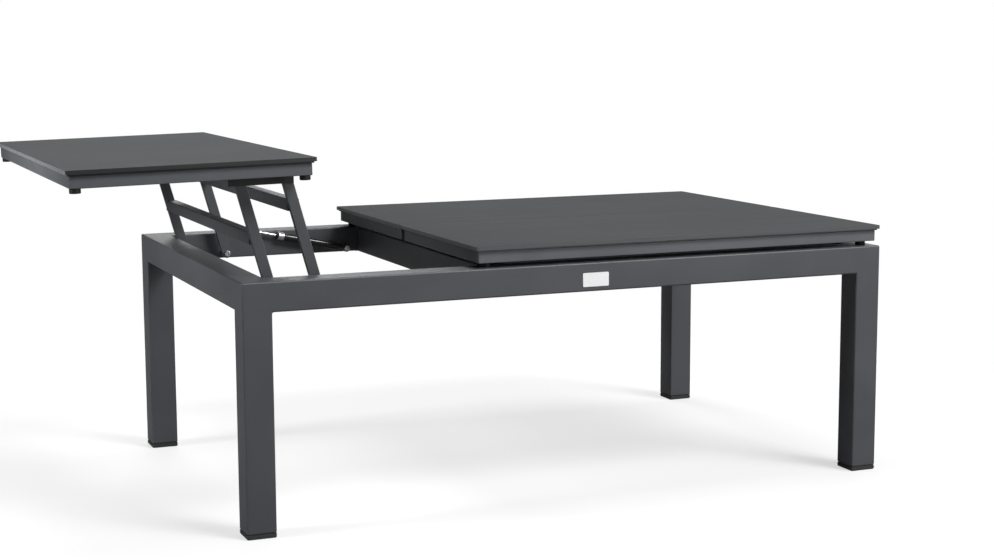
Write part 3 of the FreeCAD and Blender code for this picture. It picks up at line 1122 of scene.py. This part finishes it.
@dataclass
class TopPanel(Assembly):
    """One panel of the top: a board, the tube frame under it and its rubber bumpers."""

    panel: Panel
    tube_width: float = 0.015
    tube_edge: float = 0.0015
    tube_edge_steps: int = 3
    board_corner: float = 0.004
    board_corner_steps: int = 6
    board_edge: float = 0.0008
    board_edge_angle: float = 50.0
    rebate_height: float = 0.0026
    rebate_depth: float = 0.005
    pad_edge: float = 0.001
    pad_sides: int = 32
    pad_hole_radius: float = 0.0035
    pad_hole_depth: float = 0.003

    @property
    def body(self) -> Body:
        """Return the body that the panel moves with."""
        return Body.LIFT_TOP if self.panel is Panel.LIFT else Body.BASE

    @property
    def tilt(self) -> float:
        """Return how far the panel is turned about Y."""
        return raised_tilt() if self.panel is Panel.LIFT else 0.0

    def build(self) -> None:
        """Make every piece of the panel."""
        self.board()
        self.tube_frame()
        self.bumpers()

    def board(self) -> None:
        """Make the board: rounded corners, eased edges and a rebate that shades the tubes' top."""
        node = self.panel.node("board")
        span = Span.of_nodes(node).level(self.tilt)
        lip = Vector((0, 0, self.rebate_height))
        piece = Bench.block(f"{self.panel.value}_board_skin", Span(span.low + lip, span.high))
        Bench.round_edges(piece, runs_along(Axis.Z), self.board_corner, self.board_corner_steps)
        with Bench.editing(piece):
            Bench.pick(piece, looks(-lip.normalized()))
            bpy.ops.mesh.inset(thickness=self.rebate_depth)
            Bench.extrude(-lip)
        Bench.soften(piece, self.board_edge, angle=self.board_edge_angle)
        Bench.tilt(piece, span.centre, self.tilt)
        self.hand_over(piece, self.body, Slot.BOARD, node)
        for edge in self.finishes.board_edges[self.panel]:
            piece.data.materials.append(edge)
        # On the lifting board the long edges take painted shade and the ends a painted highlight.
        for face in piece.data.polygons:
            across, along, up = (abs(part) for part in face.normal)
            face.material_index = 0 if up > ALONG else 1 + int(across > along)

    def tube_frame(self) -> None:
        """Make the welded ring of flat tube under the board."""
        span = Span.of_nodes(*self.panel.tubes).level(self.tilt)
        piece = Bench.ring(f"{self.panel.value}_tube_frame", span, self.tube_width)
        Bench.soften(piece, self.tube_edge, self.tube_edge_steps)
        Bench.tilt(piece, span.centre, self.tilt)
        self.hand_over(piece, self.body, Slot.FRAME, *self.panel.tubes)
        # The paler panel tube finish is painted light.
        piece.data.materials[0] = self.finishes.panel_tube

    def bumpers(self) -> None:
        """Make one round bumper with the sunk hole of its screw, and copy it to each corner."""
        node = self.panel.node("bumpers")
        spans = [solid.level(self.tilt) for solid in solids_of(node, Axis.X, Axis.Y)]
        height, radius = spans[0].size.z, spans[0].size.y / 2
        top_edge = self.pad_edge * EASE_SHARE
        profile = [
            (self.pad_hole_depth, self.pad_hole_radius), (0.0, self.pad_hole_radius),
            *eased_rim(0.0, radius, self.pad_edge),
            (height - top_edge, radius), (height, radius - top_edge),
        ]
        master = Bench.turned(f"{node}_master", profile, self.pad_sides)
        Bench.place(master, Vector((0, 0, -height / 2)))
        pads = []
        for number, span in enumerate(spans):
            pad = Bench.copy(master, f"{node}_pad_{number}")
            pads.append(Bench.place(pad, span.centre, turn_y(self.tilt)))
        bpy.data.objects.remove(master)
        self.hand_over(Bench.join(pads, f"{node}_pads"), self.body, Slot.RUBBER, node)


@dataclass
class Fastener:
    """A button-head bolt with a hexagon socket.

    The dome's points lie below the top and in from the rim, as shares of the head's edge.
    """

    shank_share: float = 2 / 3
    head_share: float = 0.75
    head_edge: float = 0.0015
    dome: tuple[tuple[float, float], ...] = ((1.0, 0.0), (0.3, 0.45), (0.0, 1.4))
    socket_width: float = 0.005
    socket_depth: float = 0.0025

    def model(self, name: str, span: Span) -> Piece:
        """Model a bolt along Z, with its end on the origin and its head at the top.

        Args:
            name: Name of the piece.
            span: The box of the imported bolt, which lies along Y.

        Returns:
            The new piece.
        """
        length, head, edge = span.size.y, span.size.x / 2, self.head_edge
        shank, seat = head * self.shank_share, length - head * self.head_share
        profile = [(0.0, shank), (seat, shank), (seat, head)]
        profile += [(length - edge * down, head - edge * inward) for down, inward in self.dome]
        piece = Bench.turned(name, profile)
        socket = Bench.prism("socket", self.socket_width / math.sqrt(3), self.socket_depth * 2, 6)
        Bench.place(socket, Vector((0, 0, length - self.socket_depth)))
        Bench.subtract(piece, socket)
        return piece

    def drive(self, bolt: Piece, span: Span, facing: int) -> Piece:
        """Put a bolt that was modelled along Z in its place.

        Args:
            bolt: The bolt.
            span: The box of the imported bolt.
            facing: The side of Y that its head looks to.

        Returns:
            The same piece.
        """
        start = span.low.y if facing > 0 else span.high.y
        at = Vector((span.centre.x, start, span.centre.z))
        return Bench.place(bolt, at, axis_turn(Vector((0, facing, 0))))


@dataclass
class LiftLinkage(Assembly):
    """The two arm frames, the brackets under the panel and everything that pins them."""

    fastener: Fastener = field(default_factory=Fastener)
    arm_edge: float = 0.001
    arm_edge_angle: float = 60.0
    arm_round_share: float = 0.995
    arm_round_steps: int = 12
    bar_edge: float = 0.0015
    bar_edge_steps: int = 3
    bracket_thickness: float = 0.004
    bracket_edge: float = 0.0006

    def build(self) -> None:
        """Make every piece of the linkage."""
        for end, body in ((End.LEFT, Body.LEFT_ARMS), (End.RIGHT, Body.RIGHT_ARMS)):
            self.arms(end, body)
            self.crossbar(end, body)
        self.bolts("lower", Body.BASE)
        self.bolts("upper", Body.LIFT_TOP)
        for side in Side:
            self.bracket(side)
        self.keep(Slot.STEEL, "upper_nuts", "pivot_spacers", "rivet_nuts")

    def arms(self, end: End, body: Body) -> None:
        """Make the flat arm of one frame, with round ends and eased edges, and copy it.

        Args:
            end: The end of the table that the frame is nearer to.
            body: The body that the arms move with.
        """
        lower = Span.of_nodes(f"lower_bolts_{end.word}").centre
        reach = Span.of_nodes(f"upper_bolts_{end.word}").centre - lower
        size = Span.of_nodes(f"arm_{end.word}_front").size
        half = Vector((0, size.y, size.z - abs(reach.z))) / 2
        half.x = half.z
        flat = Span(-half, Vector((reach.length, 0, 0)) + half)
        master = Bench.block("arm_master", flat)
        Bench.round_edges(
            master, runs_along(Axis.Y), half.z * self.arm_round_share, self.arm_round_steps,
        )
        Bench.soften(master, self.arm_edge, angle=self.arm_edge_angle)
        angle = math.degrees(math.atan2(reach.z, reach.x))
        for side in Side:
            node = f"arm_{end.word}_{side.word}"
            at = Vector((lower.x, Span.of_nodes(node).centre.y, lower.z))
            arm = Bench.place(Bench.copy(master, f"{node}_bar"), at, turn_y(angle))
            self.hand_over(arm, body, Slot.FRAME, node)
        bpy.data.objects.remove(master)

    def crossbar(self, end: End, body: Body) -> None:
        """Make the square tube between the two arms of a frame.

        Args:
            end: The end of the table that the frame is nearer to.
            body: The body that it moves with.
        """
        node = f"crossbar_{end.word}"
        piece = Bench.block(f"{node}_tube", Span.of_nodes(node))
        Bench.round_edges(piece, runs_along(Axis.Y), self.bar_edge, self.bar_edge_steps)
        self.hand_over(piece, body, Slot.FRAME, node)

    def bolts(self, level: str, body: Body) -> None:
        """Model one bolt of the lower or upper pivots and copy it to all four of them.

        Args:
            level: Which pivots: lower or upper.
            body: The body that the bolts move with.
        """
        spans = {end: solids_of(f"{level}_bolts_{end.word}", Axis.Y) for end in End}
        master = self.fastener.model(f"{level}_bolt_master", spans[End.LEFT][0])
        for end, (front, rear) in spans.items():
            node = f"{level}_bolts_{end.word}"
            pair = [
                self.fastener.drive(Bench.copy(master, f"{node}_{number}"), span, facing)
                for number, (span, facing) in enumerate(((front, 1), (rear, -1)))
            ]
            self.hand_over(Bench.join(pair, f"{node}_pair"), body, Slot.STEEL, node)
        bpy.data.objects.remove(master)

    def bracket(self, side: Side) -> None:
        """Make the angle that hangs the arms from one side of the lifting panel.

        Args:
            side: The long side that it is on.
        """
        node = f"lift_bracket_{side.word}"
        tilt, way = raised_tilt(), side.value
        span = Span.of_nodes(node).level(tilt)
        inner, outer = (span.low.y, span.high.y) if way > 0 else (span.high.y, span.low.y)
        web = inner + way * self.bracket_thickness
        seam = span.high.z - self.bracket_thickness
        upright = Span.of_points([
            Vector((span.low.x, inner, span.low.z)), Vector((span.high.x, web, span.high.z)),
        ])
        piece = Bench.block(f"{node}_angle", upright)
        with Bench.editing(piece):
            Bench.cut(Vector((0, 0, seam)), Vector((0, 0, 1)))
            Bench.pick(piece, lambda middle, normal: normal.y * way > ALONG and middle.z > seam)
            Bench.extrude(Vector((0, outer - web, 0)))
        Bench.soften(piece, self.bracket_edge)
        Bench.tilt(piece, span.centre, tilt)
        self.hand_over(piece, Body.LIFT_TOP, Slot.FRAME, node)
        # The darker bracket finish is painted shade from the panel above.
        piece.data.materials[0] = self.finishes.bracket


@dataclass
class GasStrut(Assembly):
    """The gas strut at the rear, turned on its own axis from the anchor to the arm."""

    fastener: Fastener = field(default_factory=Fastener)
    end_round: float = 0.0012
    crimp_depth: float = 0.0006
    crimp_width: float = 0.002
    crimp_inset: float = 0.006
    collar_edge: float = 0.0014
    collar_ease: float = 0.4
    plain_edge_share: float = 0.12

    @property
    def direction(self) -> Vector:
        """Return the strut's direction, from its anchor to the arm."""
        return Vector(joint("strut_slide")["axis"]).normalized()

    @property
    def anchor(self) -> Vector:
        """Return the middle of the strut's fixed eye."""
        return Vector(joint("strut_swing")["pos_m"])

    def build(self) -> None:
        """Make every piece of the strut."""
        self.tube()
        self.collar()
        self.plain_round("strut_seal", Body.STRUT_TUBE, Slot.RUBBER)
        self.plain_round("strut_rod", Body.STRUT_ROD, Slot.ROD)
        span = Span.of_nodes("strut_anchor_bolt")
        bolt = self.fastener.drive(self.fastener.model("strut_anchor_button", span), span, -1)
        self.hand_over(bolt, Body.BASE, Slot.STEEL, "strut_anchor_bolt")
        self.keep(Slot.STRUT, "strut_tail_eye")
        self.keep(Slot.STEEL, "strut_rod_eye", "strut_piston", "strut_anchor_spacer")

    def stretch(self, node: str) -> tuple[float, float, float]:
        """Measure a round piece of the strut.

        Args:
            node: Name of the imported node.

        Returns:
            Its start and end along the strut from the anchor, and its radius.
        """
        span = Span.of_nodes(node)
        radius = span.size.y / 2
        along = self.direction
        rim = 2 * radius * math.sqrt(1 - along.x * along.x)
        length = (span.size.x - rim) / abs(along.x)
        middle = (span.centre - self.anchor).dot(along)
        return middle - length / 2, middle + length / 2, radius

    def turn_piece(self, name: str, profile: Profile) -> Piece:
        """Turn a round piece and lay it on the strut's axis.

        Args:
            name: Name of the piece.
            profile: Pairs of distance from the anchor and radius.

        Returns:
            The new piece.
        """
        return Bench.place(Bench.turned(name, profile), self.anchor, axis_turn(self.direction))

    def tube(self) -> None:
        """Make the pressure tube, with rolled ends and the crimp that holds its guide."""
        start, end, radius = self.stretch("strut_cylinder")
        dent, width = self.crimp_depth, self.crimp_width
        crimp = end - self.crimp_inset
        profile = [
            *eased_rim(start, radius, self.end_round),
            (crimp - width, radius), (crimp - width / 3, radius - dent),
            (crimp + width / 3, radius - dent), (crimp + width, radius),
            *eased_rim(end, radius, self.end_round, -1),
        ]
        piece = self.turn_piece("strut_pressure_tube", profile)
        self.hand_over(piece, Body.STRUT_TUBE, Slot.STRUT, "strut_cylinder")

    def collar(self) -> None:
        """Make the bright collar at the tube's mouth, with eased edges."""
        start, end, radius = self.stretch("strut_collar")
        profile = [
            *eased_rim(start, radius, self.collar_edge, 1, self.collar_ease),
            *eased_rim(end, radius, self.collar_edge, -1, self.collar_ease),
        ]
        piece = self.turn_piece("strut_bright_collar", profile)
        self.hand_over(piece, Body.STRUT_TUBE, Slot.STEEL, "strut_collar")

    def plain_round(self, node: str, body: Body, slot: Slot) -> None:
        """Make a plain round piece of the strut, with eased ends.

        Args:
            node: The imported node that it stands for.
            body: The body that it moves with.
            slot: Its finish.
        """
        start, end, radius = self.stretch(node)
        edge = radius * self.plain_edge_share
        profile = [
            (start, radius - edge), (start + edge, radius), (end - edge, radius),
            (end, radius - edge),
        ]
        self.hand_over(self.turn_piece(f"{node}_round", profile), body, slot, node)


@dataclass(frozen=True)
class SoftBox:
    """A square studio light."""

    name: str
    at: tuple[float, float, float]
    aim: tuple[float, float, float]
    width: float
    power: float
    spread: float = 180.0

    def hang(self) -> None:
        """Add the light to the scene."""
        lamp = bpy.data.lights.new(self.name, "AREA")
        lamp.shape = "SQUARE"
        lamp.size = self.width
        lamp.energy = self.power
        lamp.spread = math.radians(self.spread)
        holder = bpy.data.objects.new(self.name, lamp)
        holder.visible_camera = False
        bpy.context.scene.collection.objects.link(holder)
        holder.location = self.at
        aim = Vector(self.aim) - Vector(self.at)
        holder.rotation_euler = aim.to_track_quat("-Z", "Y").to_euler()


@dataclass(frozen=True)
class Glow:
    """A soft patch of brightness in the surroundings, which only lights the table."""

    towards: tuple[float, float, float]
    sharpness: float
    strength: float


@dataclass
class Studio:
    """A pale floor that fades into a white background, soft lights and the camera."""

    floor_radius: float = 14.0
    floor_sides: int = 96
    fade: tuple[float, float] = (0.75, 2.2)
    floor_tone: float = 0.17
    floor_seen_tone: float = 0.35
    floor_glow: float = 0.60
    floor_roughness: float = 0.9
    floor_gloss: float = 0.1
    lens: float = 66.107
    sensor: float = 36.0
    camera_at: tuple[float, float, float] = (-1.19657, -3.17221, 0.82515)
    camera_turn: float = -22.7297
    camera_tip: float = 82.0074
    camera_roll: float = -0.2390
    glow: Glow = Glow((0.75, 0.65, 0.10), 8.0, 1.885)
    lights: tuple[SoftBox, ...] = (
        SoftBox("right_key", (4.43, -4.33, 5.49), (0.1, 0.0, 0.35), 2.6, 205.0),
        SoftBox("front_key", (2.93, -4.90, 6.01), (0.1, 0.0, 0.35), 2.6, 370.0),
        SoftBox("left_low", (-6.39, 0.00, 2.97), (-0.2, 0.0, 0.35), 1.6, 296.0),
        SoftBox("overhead", (0.10, 0.30, 6.00), (0.1, 0.0, 0.35), 2.4, 112.0),
        SoftBox("rear", (0.10, 3.15, 2.81), (0.1, 0.0, 0.35), 1.4, 50.4),
        SoftBox("front_low", (2.06, -3.39, 1.18), (0.1, 0.0, 0.35), 1.4, 30.9),
        SoftBox("front_near", (0.25, -1.70, 0.50), (0.25, 0.0, 0.40), 0.9, 0.78),
        SoftBox("left_near", (-1.55, 0.00, 0.56), (-0.735, 0.0, 0.66), 0.5, 0.57, 32.0),
    )

    def build(self) -> None:
        """Make the floor, the background, the lights and the camera."""
        self.floor()
        self.background()
        for light in self.lights:
            light.hang()
        self.camera()

    def floor(self) -> None:
        """Make the round floor: paler to the camera alone, clear to it outside and from below."""
        Bench.clear()
        bpy.ops.mesh.primitive_circle_add(
            vertices=self.floor_sides, radius=self.floor_radius, fill_type="NGON",
        )
        piece = Bench.settle("pale_floor")
        sheet = ShaderSheet("pale_studio_floor")
        sheet.set(
            Roughness=self.floor_roughness, Specular_IOR_Level=self.floor_gloss,
            Emission_Color=WHITE,
        )
        seen = sheet.add("ShaderNodeLightPath").outputs["Is Camera Ray"]
        lift = self.floor_seen_tone - self.floor_tone
        tone = sheet.math("MULTIPLY_ADD", seen, lift, self.floor_tone)
        sheet.link(tone, sheet.shader.inputs["Base Color"])
        glow = sheet.math("MULTIPLY", seen, self.floor_glow)
        sheet.link(glow, sheet.shader.inputs["Emission Strength"])
        distance = sheet.add("ShaderNodeVectorMath")
        distance.operation = "LENGTH"
        sheet.link(sheet.place, distance.inputs[0])
        clear = sheet.ranged(distance.outputs["Value"], self.fade, 0.0, 1.0)
        below = sheet.add("ShaderNodeNewGeometry").outputs["Backfacing"]
        hidden = sheet.math("MULTIPLY", seen, sheet.math("MAXIMUM", clear, below))
        sheet.link(sheet.math("SUBTRACT", 1.0, hidden), sheet.shader.inputs["Alpha"])
        piece.data.materials.append(sheet.material)

    def background(self) -> None:
        """Make the background, white to the camera, which lights the table by its glow alone."""
        world = bpy.data.worlds.new("white_background")
        world.use_nodes = True
        shade = world.node_tree.nodes["Background"]
        shade.inputs["Color"].default_value = WHITE
        sheet = Sheet(world.node_tree, "Generated")
        nearness = sheet.add("ShaderNodeVectorMath")
        nearness.operation = "DOT_PRODUCT"
        nearness.inputs[1].default_value = Vector(self.glow.towards).normalized()
        sheet.link(sheet.place, nearness.inputs[0])
        fall = sheet.math("SUBTRACT", nearness.outputs["Value"], 1.0)
        lobe = sheet.math("EXPONENT", sheet.math("MULTIPLY", fall, self.glow.sharpness))
        light = sheet.math("MULTIPLY", lobe, self.glow.strength)
        seen = sheet.add("ShaderNodeLightPath").outputs["Is Camera Ray"]
        unseen = sheet.math("SUBTRACT", 1.0, seen)
        strength = sheet.math("MULTIPLY_ADD", unseen, light, seen)
        sheet.link(strength, shade.inputs["Strength"])
        bpy.context.scene.world = world
        bpy.context.scene.view_settings.view_transform = "Standard"

    def camera(self) -> None:
        """Set the camera where the photograph was taken from."""
        lens = bpy.data.cameras.new("photo_camera")
        lens.lens = self.lens
        lens.sensor_width = self.sensor
        holder = bpy.data.objects.new("photo_camera", lens)
        bpy.context.scene.collection.objects.link(holder)
        turn = Matrix.Rotation(math.radians(self.camera_turn), 4, "Z")
        tip = Matrix.Rotation(math.radians(self.camera_tip), 4, "X")
        roll = Matrix.Rotation(math.radians(self.camera_roll), 4, "Z")
        holder.matrix_world = Matrix.Translation(self.camera_at) @ turn @ tip @ roll
        bpy.context.scene.camera = holder


def main() -> None:
    """Build the table and its studio, and report each piece."""
    logging.basicConfig(level=logging.INFO, format="%(name)s: %(message)s")
    finishes = Finishes()
    BaseFrame(finishes).build()
    for panel in Panel:
        TopPanel(finishes, panel).build()
    LiftLinkage(finishes).build()
    GasStrut(finishes).build()
    Studio().build()


if __name__ == "__main__":
    main()
